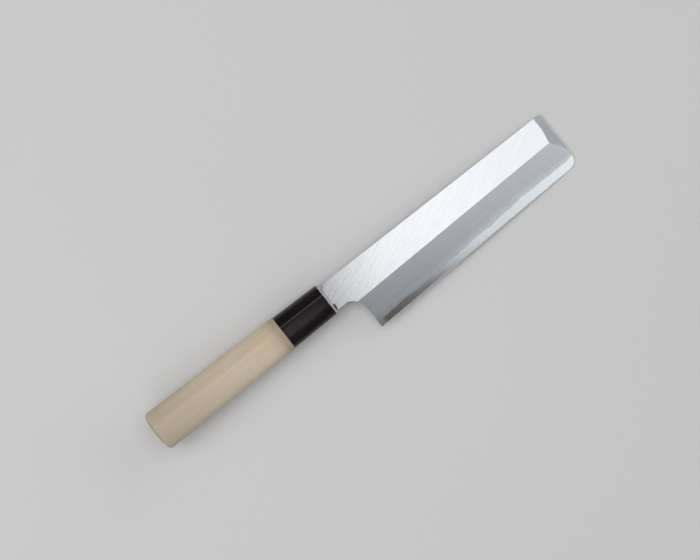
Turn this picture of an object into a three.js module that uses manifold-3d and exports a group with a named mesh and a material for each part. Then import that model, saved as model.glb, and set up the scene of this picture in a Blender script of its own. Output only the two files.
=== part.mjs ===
// An usuba: a single-bevel vegetable knife with a laminated blade, a horn ferrule and a wooden handle.
//
// Millimetres. The knife lies on its left side, as it lies on a board: +X runs from the butt to the tip,
// +Y from the edge to the spine, and +Z out of the bevelled face. While it is built, X = 0 is the neck's
// shoulder, Y = 0 is the handle's axis and Z = 0 is the flat back of the blade. At the end the whole knife
// moves so that the origin is below its middle, on the level that it lies on.

import * as THREE from "three";
import { mergeVertices } from "three/addons/utils/BufferGeometryUtils.js";
import Module from "manifold-3d";

const wasm = await Module();
wasm.setup();

// Blade outline, seen on the bevelled face
const bladeLength = 165; // neck shoulder to tip, the size that the knife is sold by
const spineAboveAxis = 8.4; // spine over the handle's axis
const neckHeight = 17.3; // spine to the underside of the neck
const heelSetback = 13.75; // neck shoulder to the heel
const heelLean = 0.5; // how far the heel's corner stands ahead of the rest of the heel
const fingerCurveRun = 7.4; // curve between the neck and the heel, along the neck
const fingerCurveDrop = 11.8; // and down the heel
const heelHeight = 41.4; // spine to edge at the heel
const tipHeight = 36.7; // spine to edge at the tip
const tipLean = 0.95; // how far the spine's corner stands behind the tip
const tipCurve = 5.5; // radius between the tip and the edge

// Blade section
const spineThicknessNeck = 3.4;
const spineThicknessTip = 2.2;
const ridgeRise = 0.2; // how much thicker the blade is at the bevel's ridge than at the spine
const flatHeightHeel = 20.6; // spine to ridge at the heel
const flatHeightTip = 16.8; // spine to ridge at the tip
const edgeThickness = 0.2;

// Forge weld between the soft iron and the hard steel, which covers the whole back
const hardSteelThickness = 0.85;
const weldWander = 0.08; // how far the weld rises and falls
const weldWaveLength = 19;

// Facet that thins the square tip
const facetAtSpine = 5.4; // tip to facet along the spine
const facetAtRidge = 6.8; // tip to facet along the ridge
const facetReach = 28.5; // spine to the point where the facet runs out at the tip

// Hollow of the back, with a flat rim left all round it
const hollowRim = 1.5;
const hollowDepth = 0.3;
const hollowSquareness = 5; // 2 gives an ellipse, more is squarer

// Tang
const tangLength = 92; // neck shoulder to the tang's end
const spineShoulder = 2.4; // spine to the top of the tang
const spineShoulderRun = 2.8; // length of the slope that leads down to it
const edgeShoulder = 4; // underside of the neck to the underside of the tang
const tangThicknessNeck = 3;
const tangThicknessEnd = 2;
const tangHeightEnd = 6;

// Horn ferrule
const neckGap = 0.9; // neck shoulder to the front of the ferrule
const ferruleLength = 32.6;
const ferruleHeightFront = 20.8;
const ferruleHeightBack = 22;
const ferruleThicknessFront = 17.2;
const ferruleThicknessBack = 18;
const ferruleChamfer = 0.6;

// Wooden handle
const woodLength = 95; // back of the ferrule to the butt
const woodProud = 0.25; // how far the wood stands proud of the horn where they meet
const buttHeight = 25.1;
const buttThickness = 20.4;
const buttRound = 2.6; // radius round the butt
const buttCrown = 1; // how far the middle of the butt stands out
const tenonHeight = 15.4;
const tenonThickness = 10.6;
const glueLine = 0.15; // between the tenon and the horn
const tangClearance = 0.2; // between the tang and its slot
const tangEndRoom = 3; // slot past the tang's end

// D section that the horn and the wood share, as shares of its half height and of its thickness
const sectionRidge = 0.33; // ridge over the axis
const sectionRidgeSide = 0.52; // thickness on the ridge's side

// Facets
const bladeSteps = 24;
const hollowSteps = 22;
const hollowArcSteps = 10;
const weldStepsPerWave = 5;
const cornerSteps = 12;
const sectionSteps = 9;
const buttSteps = 5;
const cutMargin = 2; // how far a cutting solid stands past what it cuts

const spineY = spineAboveAxis;
const neckY = spineY - neckHeight;
const axisZ = spineThicknessNeck / 2;
const heelCornerX = heelSetback + heelLean;
const ferruleFrontX = -neckGap;
const ferruleBackX = ferruleFrontX - ferruleLength;
const buttX = ferruleBackX - woodLength;
const tangTopY = spineY - spineShoulder;
const tangHeightNeck = neckHeight - spineShoulder - edgeShoulder;
const tangMiddleY = tangTopY - tangHeightNeck / 2;

const lerp = THREE.MathUtils.lerp;
const mapLinear = THREE.MathUtils.mapLinear;
const yz = (y, z) => new THREE.Vector2(y, z);

function steps(from, to, count) {
  return Array.from({ length: count + 1 }, (_, i) => lerp(from, to, i / count));
}

// The blade's lines run straight from the heel to the tip.
const edgeY = (x) => spineY - mapLinear(x, heelCornerX, bladeLength, heelHeight, tipHeight);
const ridgeY = (x) => spineY - mapLinear(x, heelCornerX, bladeLength, flatHeightHeel, flatHeightTip);
const spineZ = (x) => mapLinear(x, 0, bladeLength, spineThicknessNeck, spineThicknessTip);
const ridgeZ = (x) => spineZ(x) + ridgeRise;

// Height of the bevelled side over the back: its flat down to the ridge, then the bevel down to the edge.
function faceZ(x, y) {
  if (y > ridgeY(x)) return mapLinear(y, spineY, ridgeY(x), spineZ(x), ridgeZ(x));
  return mapLinear(y, ridgeY(x), edgeY(x), ridgeZ(x), edgeThickness);
}

// A closed geometry as a solid that can be joined and cut.
function solidOf(geometry) {
  const bare = geometry.clone();
  bare.deleteAttribute("normal");
  bare.deleteAttribute("uv");
  const merged = mergeVertices(bare);
  const vertProperties = new Float32Array(merged.attributes.position.array);
  const triVerts = new Uint32Array(merged.index.array);
  return new wasm.Manifold(new wasm.Mesh({ numProp: 3, vertProperties, triVerts }));
}

function meshOf(name, solid, material) {
  const { vertProperties, triVerts } = solid.getMesh();
  const shared = new THREE.BufferGeometry();
  shared.setAttribute("position", new THREE.BufferAttribute(vertProperties, 3));
  shared.setIndex(new THREE.BufferAttribute(triVerts, 1));
  const faceted = shared.toNonIndexed();
  faceted.computeVertexNormals();
  const mesh = new THREE.Mesh(faceted, material);
  mesh.name = name;
  return mesh;
}

// A solid through rings of equal count, from low x to high x. A ring is { x, outline }, and its outline
// holds points in Y and Z, anticlockwise as seen from the tip.
function loft(rings) {
  const count = rings[0].outline.length;
  const positions = rings.flatMap(({ x, outline }) => outline.flatMap((p) => [x, p.x, p.y]));
  const index = [];
  for (let ring = 0; ring + 1 < rings.length; ring++) {
    for (let i = 0; i < count; i++) {
      const a = ring * count + i;
      const b = ring * count + ((i + 1) % count);
      index.push(a, b, a + count, b, b + count, a + count);
    }
  }
  const last = positions.length / 3 - count;
  const lowCap = THREE.ShapeUtils.triangulateShape(rings[0].outline, []);
  const highCap = THREE.ShapeUtils.triangulateShape(rings.at(-1).outline, []);
  lowCap.forEach(([a, b, c]) => index.push(c, b, a));
  highCap.forEach(([a, b, c]) => index.push(last + a, last + b, last + c));
  const geometry = new THREE.BufferGeometry();
  geometry.setAttribute("position", new THREE.Float32BufferAttribute(positions, 3));
  geometry.setIndex(index);
  return solidOf(geometry);
}

// The ground section along the whole blade, before it is cut to its outline. The bevel is as wide at the
// thin tip as at the heel, so it twists a little on the way.
function groundBlank() {
  const section = (x) => [
    yz(spineY, 0),
    yz(spineY, spineZ(x)),
    yz(ridgeY(x), ridgeZ(x)),
    yz(edgeY(x), edgeThickness),
    yz(edgeY(x), 0),
  ];
  return loft(steps(0, bladeLength + cutMargin, bladeSteps).map((x) => ({ x, outline: section(x) })));
}

// The blade's outline: neck, finger curve, heel, edge, round corner, square tip, spine and its shoulder.
function bladeOutline() {
  const tipEdge = new THREE.Vector2(bladeLength, edgeY(bladeLength));
  const heelCorner = new THREE.Vector2(heelCornerX, edgeY(heelCornerX));
  const tipSpine = new THREE.Vector2(bladeLength - tipLean, spineY);
  const edgeAngle = tipEdge.clone().sub(heelCorner).angle();
  const tipAngle = tipSpine.clone().sub(tipEdge).angle();
  const turn = THREE.MathUtils.euclideanModulo(tipAngle - edgeAngle, 2 * Math.PI);
  const cornerReach = tipCurve * Math.tan(turn / 2);
  const cornerStart = heelCorner.clone().sub(tipEdge).setLength(cornerReach).add(tipEdge);
  const inward = new THREE.Vector2(-Math.sin(edgeAngle), Math.cos(edgeAngle));
  const centre = inward.multiplyScalar(tipCurve).add(cornerStart);
  const quarter = Math.PI / 2;
  const curveX = heelSetback - fingerCurveRun;
  const curveY = neckY - fingerCurveDrop;

  const outline = new THREE.Shape();
  outline.moveTo(0, neckY);
  outline.lineTo(curveX, neckY);
  outline.absellipse(curveX, curveY, fingerCurveRun, fingerCurveDrop, quarter, 0, true);
  outline.lineTo(heelCorner.x, heelCorner.y);
  outline.lineTo(cornerStart.x, cornerStart.y);
  outline.absarc(centre.x, centre.y, tipCurve, edgeAngle - quarter, tipAngle - quarter, false);
  outline.lineTo(tipSpine.x, tipSpine.y);
  outline.lineTo(spineShoulderRun, spineY);
  outline.lineTo(0, tangTopY);
  return outline;
}

function outlinePrism() {
  const depth = ridgeZ(0) + 2 * cutMargin;
  const options = { depth, bevelEnabled: false, curveSegments: cornerSteps };
  return solidOf(new THREE.ExtrudeGeometry(bladeOutline(), options).translate(0, 0, -cutMargin));
}

// Everything above the tip's facet, which is the plane through three points of the bevelled side.
function facetCutter() {
  const onFace = (x, y) => new THREE.Vector3(x, y, faceZ(x, y));
  const ridgeEndX = bladeLength - facetAtRidge;
  const plane = new THREE.Plane().setFromCoplanarPoints(
    onFace(bladeLength - facetAtSpine, spineY),
    onFace(ridgeEndX, ridgeY(ridgeEndX)),
    onFace(bladeLength, spineY - facetReach),
  );
  if (plane.normal.z < 0) plane.negate();
  const up = new THREE.Vector3(0, 0, 1);
  const tipMiddle = new THREE.Vector3(bladeLength, spineY - tipHeight / 2, 0);
  const seat = plane.projectPoint(tipMiddle, new THREE.Vector3());
  const height = ridgeZ(0) + cutMargin;
  const box = new THREE.BoxGeometry(2 * (facetAtRidge + cutMargin), 2 * tipHeight, height);
  box.translate(0, 0, height / 2);
  box.applyQuaternion(new THREE.Quaternion().setFromUnitVectors(up, plane.normal));
  return solidOf(box.translate(seat.x, seat.y, seat.z));
}

// The shallow hollow ground into the back. Its two ends are round, as those of a squared ellipse are.
function hollowCutter() {
  const fromX = heelCornerX + hollowRim;
  const toX = bladeLength - tipLean - hollowRim;
  const power = 2 / hollowSquareness;
  const ringAt = (angle) => {
    const along = -Math.sign(Math.cos(angle)) * Math.abs(Math.cos(angle)) ** power;
    const x = mapLinear(along, -1, 1, fromX, toX);
    const width = Math.sin(angle) ** power;
    const middle = (spineY + edgeY(x)) / 2;
    const half = width * ((spineY - edgeY(x)) / 2 - hollowRim);
    const depth = width ** 2 * hollowDepth;
    const arc = steps(1, -1, hollowArcSteps).map((t) => yz(middle + half * t, depth * (1 - t ** 2)));
    return { x, outline: [...arc, yz(middle - half, -cutMargin), yz(middle + half, -cutMargin)] };
  };
  const firstAngle = Math.PI / (4 * hollowSteps);
  return loft(steps(firstAngle, Math.PI - firstAngle, hollowSteps).map(ringAt));
}

// The tang's section at x, or with room round it the section of its slot.
function tangRing(x, room) {
  const toEnd = (atNeck, atEnd) => mapLinear(x, 0, -tangLength, atNeck, atEnd);
  const middle = toEnd(tangMiddleY, 0);
  const halfHeight = toEnd(tangHeightNeck, tangHeightEnd) / 2 + room;
  const halfThickness = toEnd(tangThicknessNeck, tangThicknessEnd) / 2 + room;
  const outline = [
    yz(middle + halfHeight, axisZ - halfThickness),
    yz(middle + halfHeight, axisZ + halfThickness),
    yz(middle - halfHeight, axisZ + halfThickness),
    yz(middle - halfHeight, axisZ - halfThickness),
  ];
  return { x, outline };
}

// The hard steel's side of the forge weld, from the neck's shoulder to past the tip.
function weldSlab() {
  const endX = bladeLength + cutMargin;
  const profile = new THREE.Shape();
  profile.moveTo(0, -cutMargin);
  profile.lineTo(endX, -cutMargin);
  for (const x of steps(endX, 0, Math.ceil(endX / weldWaveLength) * weldStepsPerWave)) {
    const turn = (2 * Math.PI * x) / weldWaveLength;
    const wave = (Math.sin(turn) + Math.sin(0.618 * turn + 1)) / 2;
    profile.lineTo(x, hardSteelThickness + weldWander * wave);
  }
  const slab = new THREE.ExtrudeGeometry(profile, { depth: heelHeight + 2 * cutMargin, bevelEnabled: false });
  return solidOf(slab.rotateX(Math.PI / 2).translate(0, spineY + cutMargin, 0));
}

// The handle's D section: a round left side, and a right side that rises to one ridge.
function handleOutline(height, thickness) {
  const half = height / 2;
  const ridge = half * sectionRidge;
  const right = thickness * sectionRidgeSide;
  const left = thickness - right;
  const below = half + ridge;
  const above = half - ridge;
  const outline = new THREE.Shape();
  outline.moveTo(ridge, right);
  outline.bezierCurveTo(ridge - 0.55 * below, 0.84 * right, -half, 0.6 * right, -half, 0);
  outline.absellipse(0, 0, half, left, Math.PI, 2 * Math.PI, false);
  outline.bezierCurveTo(half, 0.5 * right, ridge + 0.72 * above, 0.74 * right, ridge, right);
  return outline.getPoints(sectionSteps).slice(0, -1);
}

// A ring of the handle, taken in by an inset all round.
function handleRing(x, height, thickness, inset) {
  const across = 1 - (2 * inset) / height;
  const through = 1 - (2 * inset) / thickness;
  const outline = handleOutline(height, thickness).map((p) => yz(p.x * across, p.y * through + axisZ));
  return { x, outline };
}

function ferruleRing(x, inset = 0) {
  const height = mapLinear(x, ferruleFrontX, ferruleBackX, ferruleHeightFront, ferruleHeightBack);
  const thickness = mapLinear(x, ferruleFrontX, ferruleBackX, ferruleThicknessFront, ferruleThicknessBack);
  return handleRing(x, height, thickness, inset);
}

function woodRing(x, inset = 0) {
  const height = mapLinear(x, ferruleBackX, buttX, ferruleHeightBack + 2 * woodProud, buttHeight);
  const thickness = mapLinear(x, ferruleBackX, buttX, ferruleThicknessBack + 2 * woodProud, buttThickness);
  return handleRing(x, height, thickness, inset);
}

function tenonRing(x, room = 0) {
  const ellipse = new THREE.EllipseCurve(0, axisZ, tenonHeight / 2 + room, tenonThickness / 2 + room);
  return { x, outline: ellipse.getPoints(4 * sectionSteps).slice(0, -1) };
}

// The forged blade, with its tang, before the weld parts it into soft iron and hard steel.
function forgedBlade() {
  const blade = groundBlank().intersect(outlinePrism()).subtract(facetCutter()).subtract(hollowCutter());
  return blade.add(loft([tangRing(-tangLength, 0), tangRing(cutMargin, 0)]));
}

// The horn ring: tapered as the handle is, with a chamfer round its front.
function ferrule() {
  const shell = loft([
    ferruleRing(ferruleBackX),
    ferruleRing(ferruleFrontX - ferruleChamfer),
    ferruleRing(ferruleFrontX, ferruleChamfer),
  ]);
  const bore = [ferruleBackX - cutMargin, ferruleFrontX + cutMargin].map((x) => tenonRing(x, glueLine));
  return shell.subtract(loft(bore));
}

// The wood: a crowned butt with a round edge, the tapered grip, the tenon and the slot burnt in for the tang.
function handle() {
  const crownInset = buttThickness / 2 - buttRound;
  const crown = steps(1 / buttSteps, 1, buttSteps - 1).map((outward) =>
    woodRing(buttX + buttCrown * outward ** 2, buttRound + crownInset * (1 - outward)),
  );
  const roundEdge = steps(0, Math.PI / 2, buttSteps).slice(1);
  const edge = roundEdge.map((turn) =>
    woodRing(buttX + buttCrown + buttRound * (1 - Math.cos(turn)), buttRound * (1 - Math.sin(turn))),
  );
  const grip = loft([...crown, ...edge, woodRing(ferruleBackX)]);
  const tenon = loft([tenonRing(ferruleBackX - cutMargin), tenonRing(ferruleFrontX)]);
  const slotEnds = [-tangLength - tangEndRoom, ferruleFrontX + cutMargin];
  const slot = loft(slotEnds.map((x) => tangRing(x, tangClearance)));
  return grip.add(tenon).subtract(slot);
}

const softIron = new THREE.MeshStandardMaterial({ color: 0xc9ccd1, metalness: 1, roughness: 0.35 });
const hardSteel = new THREE.MeshStandardMaterial({ color: 0xdfe4e8, metalness: 1, roughness: 0.15 });
const blackHorn = new THREE.MeshStandardMaterial({ color: 0x1c1817, metalness: 0, roughness: 0.3 });
const paleWood = new THREE.MeshStandardMaterial({ color: 0xb9ab98, metalness: 0, roughness: 0.65 });

const blade = forgedBlade();
const weld = weldSlab();
const knife = new THREE.Group();
knife.add(
  meshOf("blade_cladding", blade.subtract(weld), softIron),
  meshOf("edge_steel", blade.intersect(weld), hardSteel),
  meshOf("horn_ferrule", ferrule(), blackHorn),
  meshOf("wooden_handle", handle(), paleWood),
);

const box = new THREE.Box3().setFromObject(knife);
const middle = box.getCenter(new THREE.Vector3());
knife.position.set(-middle.x, -middle.y, -box.min.z);

export default knife;
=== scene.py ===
# %% [markdown]
# # A usuba knife: mesh and finish
# A usuba is a single-bevel vegetable knife: a blade of soft iron backed with hard steel, pushed into a
# wooden handle with a horn ferrule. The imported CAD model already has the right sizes, so it is loaded
# first as a fixed frame. Every piece below is modelled again, finer, in the place of its CAD node, and
# then given its finish.

import math

import bmesh
import bpy
from mathutils import Matrix, Vector
from mathutils.geometry import delaunay_2d_cdt


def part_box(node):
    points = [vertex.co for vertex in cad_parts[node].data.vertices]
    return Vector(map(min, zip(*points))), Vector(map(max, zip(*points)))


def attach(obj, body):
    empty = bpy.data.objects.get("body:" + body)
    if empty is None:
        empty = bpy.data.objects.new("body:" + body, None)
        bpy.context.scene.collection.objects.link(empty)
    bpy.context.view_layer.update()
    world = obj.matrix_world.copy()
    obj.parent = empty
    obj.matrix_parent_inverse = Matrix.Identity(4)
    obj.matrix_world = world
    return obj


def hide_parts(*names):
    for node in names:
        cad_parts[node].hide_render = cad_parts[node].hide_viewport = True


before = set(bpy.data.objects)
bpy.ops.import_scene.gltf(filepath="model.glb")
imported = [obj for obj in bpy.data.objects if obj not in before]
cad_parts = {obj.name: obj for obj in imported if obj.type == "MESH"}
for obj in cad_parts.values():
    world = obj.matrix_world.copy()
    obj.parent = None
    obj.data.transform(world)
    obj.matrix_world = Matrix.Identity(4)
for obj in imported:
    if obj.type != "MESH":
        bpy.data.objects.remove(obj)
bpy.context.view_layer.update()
print("CAD nodes:", sorted(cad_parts))

# %% [markdown]
# ## A ruler along the knife
# A cutler measures a knife from the shoulder of its neck, the axis of its handle and the flat of its
# back. Working in those lengths, in millimetres, keeps every number below readable. One helper turns such
# a point into a place in the frame, and the three starting lines come from the hard steel's own box.

# %% Measure from the shoulder, the handle's axis and the flat back
MM = 0.001
SPINE_ABOVE_AXIS = 8.4
steel_low, steel_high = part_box("edge_steel")
shoulder_x = steel_low.x
axis_y = steel_high.y - SPINE_ABOVE_AXIS * MM
back_z = steel_low.z


def place(along, across, up):
    """A point of the knife, given in millimetres, as a place in the frame."""
    return Vector((shoulder_x + along * MM, axis_y + across * MM, back_z + up * MM))


def short(numbers, digits=2):
    """Numbers rounded for printing."""
    return [round(number, digits) for number in numbers]


print("shoulder, axis and back in mm:", short(place(0, 0, 0) / MM))

# %% [markdown]
# ## The table
# A knife laid down on its flat back touches the table in two places: under the front of the ferrule and
# along the end of the blade. The handle is thicker than the blade, so the blade slopes down a little
# towards its tip. Turning the knife would break the frame, so the table leans instead, and the camera and
# lamps are set out from the table.

# %% Lean the table against the ferrule and the tip
CHAMFER_RUN = 1.1
VIEW_CENTRE = (-1.7 * MM, 10.65 * MM)
horn_low, horn_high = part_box("horn_ferrule")
ferrule_touch_x = horn_high.x - CHAMFER_RUN * MM
lean = math.atan2(back_z - horn_low.z, steel_high.x - ferrule_touch_x)
table_z = horn_low.z + (VIEW_CENTRE[0] - ferrule_touch_x) * math.tan(lean)
table = Matrix.Translation((*VIEW_CENTRE, table_z)) @ Matrix.Rotation(-lean, 4, "Y")
print("the table leans by", round(math.degrees(lean), 2), "degrees")

# %% Lay the pale floor
FLOOR_SIZE = 8.0
FLOOR_CELLS = 8
FLOOR_DROP = 0.1 * MM


def new_object(name, data):
    """An object with this mesh, camera or lamp, linked into the scene."""
    made = bpy.data.objects.new(name, data)
    bpy.context.scene.collection.objects.link(made)
    return made


floor_bm = bmesh.new()
bmesh.ops.create_grid(floor_bm, x_segments=FLOOR_CELLS, y_segments=FLOOR_CELLS, size=FLOOR_SIZE / 2)
floor = new_object("floor", bpy.data.meshes.new("floor"))
floor_bm.to_mesh(floor.data)
floor_bm.free()
floor.matrix_world = table @ Matrix.Translation((0, 0, -FLOOR_DROP))
print("floor:", FLOOR_SIZE, "m square")

# %% [markdown]
# ## The camera
# The knife is seen from straight above the table, with the blade pointing up to the right. A long lens
# far away and a short lens close by can frame the same picture. The distance here is that of a copy
# stand, and the lens follows from the width of table that the picture takes in.

# %% Hang the camera over the table
CAMERA_HEIGHT = 1.20
PICTURE_WIDTH = 0.4100
BLADE_HEIGHT = 8 * MM
PICTURE_TURN = math.radians(-38.15)
SENSOR_WIDTH = 36
camera = new_object("camera", bpy.data.cameras.new("camera"))
camera.data.sensor_width = SENSOR_WIDTH
camera.data.lens = SENSOR_WIDTH * (CAMERA_HEIGHT - BLADE_HEIGHT) / PICTURE_WIDTH
picture = table @ Matrix.Rotation(PICTURE_TURN, 4, "Z")
camera.matrix_world = picture @ Matrix.Translation((0, 0, CAMERA_HEIGHT))
bpy.context.scene.camera = camera
print("lens in mm:", round(camera.data.lens, 1))

# %% [markdown]
# ## The light
# Ground steel has no colour of its own: each face shows whatever it mirrors. The main softbox hangs where
# the flat looks, turned with the knife. Its left edge stands where the neck looks, and its near edge where
# the bevel looks, so the flat fades at the neck and the bevel runs from dark at the heel to bright at the
# tip. Two strips are there for the black horn: a long one for the sheen of its lower side and a narrow one
# for its ridge. The large, dim lamps light wood and table from places that the blade doesn't mirror into
# this camera. A sky picture would do the same with less control.

# %% Hang the softboxes
LAMPS = (
    # name, place in metres (along the knife, across to the spine, up), size, glow, aimed at the knife or not
    ("main softbox", (0.556, 0.264, 1.40), (0.887, 1.471), 1.33, False),
    ("middle of the softbox", (0.250, 0.025, 1.395), (0.17, 0.17), 0.19, False),
    ("strip beside the handle", (-0.01, -0.93, 1.40), (0.22, 0.66), 1.4, False),
    ("strip for the horn's ridge", (0.068, -0.16, 1.40), (0.055, 0.14), 3.0, False),
    ("softbox past the butt", (-0.90, 0.45, 1.30), (1.8, 1.8), 1.9, True),
    ("fill from the edge side", (-1.10, -1.10, 1.00), (1.4, 1.3), 1.0, True),
    ("panel past the tip", (2.04, 0.0, 0.75), (3.0, 1.2), 1.7, True),
)


def softbox(name, spot, size, glow, aimed):
    """A rectangular lamp over the table. Glow is what a mirror shows of it."""
    lamp = new_object(name, bpy.data.lights.new(name, "AREA"))
    lamp.data.shape = "RECTANGLE"
    lamp.data.size, lamp.data.size_y = size
    lamp.data.energy = glow * math.pi * size[0] * size[1]
    lamp.matrix_world = table @ Matrix.Translation(spot)
    if aimed:
        lamp.matrix_world @= (-Vector(spot)).to_track_quat("-Z", "Y").to_matrix().to_4x4()
    print(name, "gives", round(lamp.data.energy, 1), "W")


for lamp_values in LAMPS:
    softbox(*lamp_values)

# %% Darken the room and keep colours plain
WORLD_GREY = 0.15
world = bpy.context.scene.world or bpy.data.worlds.new("world")
bpy.context.scene.world = world
world.use_nodes = True
world.node_tree.nodes["Background"].inputs["Color"].default_value = (WORLD_GREY, WORLD_GREY, WORLD_GREY, 1)
bpy.context.scene.view_settings.view_transform = "Standard"
print("the room's grey:", WORLD_GREY)

# %% [markdown]
# ## The blade's lines
# The smith forges soft iron onto a thin layer of hard steel and grinds one side only. Three lines rule the
# shape: the straight spine, the ridge where the flat ends and the bevel starts, and the edge. A box with
# bevelled edges could never give the slow twist of the bevel, so each height comes from a formula in the
# distance from the neck.

# %% Edge, ridge and thickness along the blade
BLADE_LENGTH = 165.0
HEEL_X = 14.25
EDGE_DROP = (41.4, 36.7)
RIDGE_DROP = (20.6, 16.8)
SPINE_THICKNESS = (3.4, 2.2)
RIDGE_RISE = 0.2
EDGE_THICKNESS = 0.2
spine_y = SPINE_ABOVE_AXIS


def between(x, start, end, ends):
    """The value at x of a straight run from ends[0] at start to ends[1] at end."""
    return ends[0] + (ends[1] - ends[0]) * (x - start) / (end - start)


def edge_y(x):
    return spine_y - between(x, HEEL_X, BLADE_LENGTH, EDGE_DROP)


def ridge_y(x):
    return spine_y - between(x, HEEL_X, BLADE_LENGTH, RIDGE_DROP)


def ground_z(x, y):
    """Height of the ground face: a flat that rises a little to the ridge, then the bevel down to the edge."""
    spine_z = between(x, 0, BLADE_LENGTH, SPINE_THICKNESS)
    ridge_z = spine_z + RIDGE_RISE
    if y >= ridge_y(x):
        return between(y, spine_y, ridge_y(x), (spine_z, ridge_z))
    return between(y, ridge_y(x), edge_y(x), (ridge_z, EDGE_THICKNESS))


mid_blade = BLADE_LENGTH / 2
print("face at the ridge, mid-blade:", round(ground_z(mid_blade, ridge_y(mid_blade)), 2), "mm")

# %% [markdown]
# ## The tip facet
# The tip's end is thinned by one last facet. On paper it is a plane through three points, and the face is
# whichever surface lies lower. A plane alone looks cut by a machine, so it gets the slight belly that a
# hand on the stone leaves, and below the ridge it runs softly into the bevel.

# %% Facet plane and the finished face
FACET_AT_SPINE = BLADE_LENGTH - 5.4
FACET_AT_RIDGE = BLADE_LENGTH - 6.8
FACET_REACH = 28.5
FACET_BELLY = 0.13
CREASE_SOFT = 0.20
CREASE_FADE = 3.0
facet_spine = (FACET_AT_SPINE, spine_y)
facet_ridge = (FACET_AT_RIDGE, ridge_y(FACET_AT_RIDGE))
facet_points = (facet_spine, facet_ridge, (BLADE_LENGTH, spine_y - FACET_REACH))
facet_a, facet_b, facet_c = (Vector((x, y, ground_z(x, y))) for x, y in facet_points)
facet_normal = (facet_b - facet_a).cross(facet_c - facet_a).normalized()


def share_of(x, start, end):
    """0 up to start, 1 from end on, and a straight ramp between."""
    return min(1, max(0, (x - start) / (end - start)))


def facet_z(x, y):
    """The facet's plane, with its belly between spine and ridge."""
    rise = facet_normal.x * (x - facet_a.x) + facet_normal.y * (y - facet_a.y)
    down = share_of(y, spine_y, facet_b.y)
    return facet_a.z - rise / facet_normal.z + FACET_BELLY * math.sin(math.pi * down) ** 2


def face_z(x, y):
    """The lower of the two surfaces: crisp at the flat, and run into each other below the ridge."""
    ground, facet = ground_z(x, y), facet_z(x, y)
    soft = CREASE_SOFT * min(1, (ridge_y(x) - y) / CREASE_FADE)
    if soft <= 0:
        return min(ground, facet)
    share = share_of(facet - ground, -soft, soft)
    return facet + (ground - facet) * share - soft * share * (1 - share)


print("the facet tilts by", round(math.degrees(math.acos(abs(facet_normal.z))), 1), "degrees")

# %% [markdown]
# ## The weld
# Iron and steel are joined by hammering, so the weld between them wanders a little. Where the bevel cuts
# through it at a shallow angle, that wander spreads out into the wavy line along the edge. Noise would do
# as well, but two sines of different length never repeat on the blade and are easy to steer.

# %% Height of the weld
WELD_DEPTH = 0.85
WELD_WANDER = 0.08
WELD_WAVE = 19.0
SECOND_WAVE = 0.618
SECOND_START = 1.0


def weld_z(x):
    turn = 2 * math.pi * x / WELD_WAVE
    return WELD_DEPTH + WELD_WANDER * (math.sin(turn) + math.sin(SECOND_WAVE * turn + SECOND_START)) / 2


print("weld height mid-blade:", round(weld_z(mid_blade), 2), "mm")

# %% [markdown]
# ## The blade's outline
# The outline runs from the heel along the edge, round the tip's corner, up the end, back along the spine
# and down the neck to the finger curve. Short straight steps are enough where it is straight, and the
# curves get closer ones. A few points are kept by name, because lines on the face have to start exactly
# there.

# %% Lines of points and the tip's corner
NECK_Y = spine_y - 17.3
FINGER_CENTRE = (6.35, -20.7)
FINGER_RADII = (7.4, 11.8)
TIP_LEAN = 0.95
TIP_CURVE = 5.5
TIP_STEPS = 14
heel_top = (FINGER_CENTRE[0] + FINGER_RADII[0], FINGER_CENTRE[1])
heel_corner = (HEEL_X, edge_y(HEEL_X))
tip_corner = (BLADE_LENGTH, edge_y(BLADE_LENGTH))
spine_corner = (BLADE_LENGTH - TIP_LEAN, spine_y)


def line(start, end, gap):
    """Points from start up to, but not at, end, about gap apart."""
    start, end = Vector(start), Vector(end)
    count = max(1, round((end - start).length / gap))
    return [tuple(start.lerp(end, i / count)) for i in range(count)]


def rounded_corner(corner, before, after, radius, count):
    """Points of the arc that rounds a corner of the outline, both ends included."""
    corner = Vector(corner)
    back = (Vector(before) - corner).normalized()
    ahead = (Vector(after) - corner).normalized()
    half = back.angle(ahead) / 2
    centre = corner + (back + ahead).normalized() * radius / math.sin(half)
    first = corner + back * radius / math.tan(half) - centre
    last = corner + ahead * radius / math.tan(half) - centre
    sweep = first.angle_signed(last)
    return [tuple(centre + Matrix.Rotation(-sweep * i / count, 2) @ first) for i in range(count + 1)]


tip_arc = rounded_corner(tip_corner, heel_corner, spine_corner, TIP_CURVE, TIP_STEPS)
tip_run = (Vector(tip_corner) - Vector(tip_arc[0])).length
print("the tip's corner starts", round(tip_run, 2), "mm before the end")

# %% The finger curve, with a point where the ridge meets it
FINGER_STEPS = 24
QUARTER = math.pi / 2


def finger_point(turn):
    return (FINGER_CENTRE[0] + FINGER_RADII[0] * math.sin(turn),
            FINGER_CENTRE[1] + FINGER_RADII[1] * math.cos(turn))


def halving(low, high, test, rounds=50):
    """The value between low and high at which test turns from true to false."""
    for _ in range(rounds):
        middle = (low + high) / 2
        low, high = (middle, high) if test(middle) else (low, middle)
    return low


def above_ridge(turn):
    x, y = finger_point(turn)
    return y > ridge_y(x)


ridge_turn = halving(0, QUARTER, above_ridge)
finger_turns = sorted([QUARTER * i / FINGER_STEPS for i in range(FINGER_STEPS)] + [ridge_turn])
finger_curve = [finger_point(turn) for turn in finger_turns]
ridge_start = finger_point(ridge_turn)
print("the ridge starts at", short(ridge_start))

# %% The weld line, from the heel to the end
WELD_GAP = 0.7
SETTLING_ROUNDS = 40


def heel_x(y):
    return between(y, heel_top[1], heel_corner[1], (heel_top[0], heel_corner[0]))


def end_x(y):
    return between(y, tip_corner[1], spine_corner[1], (tip_corner[0], spine_corner[0]))


def weld_y(x):
    """Where across the blade the bevel cuts the weld."""
    return between(weld_z(x), EDGE_THICKNESS, ground_z(x, ridge_y(x)), (edge_y(x), ridge_y(x)))


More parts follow.
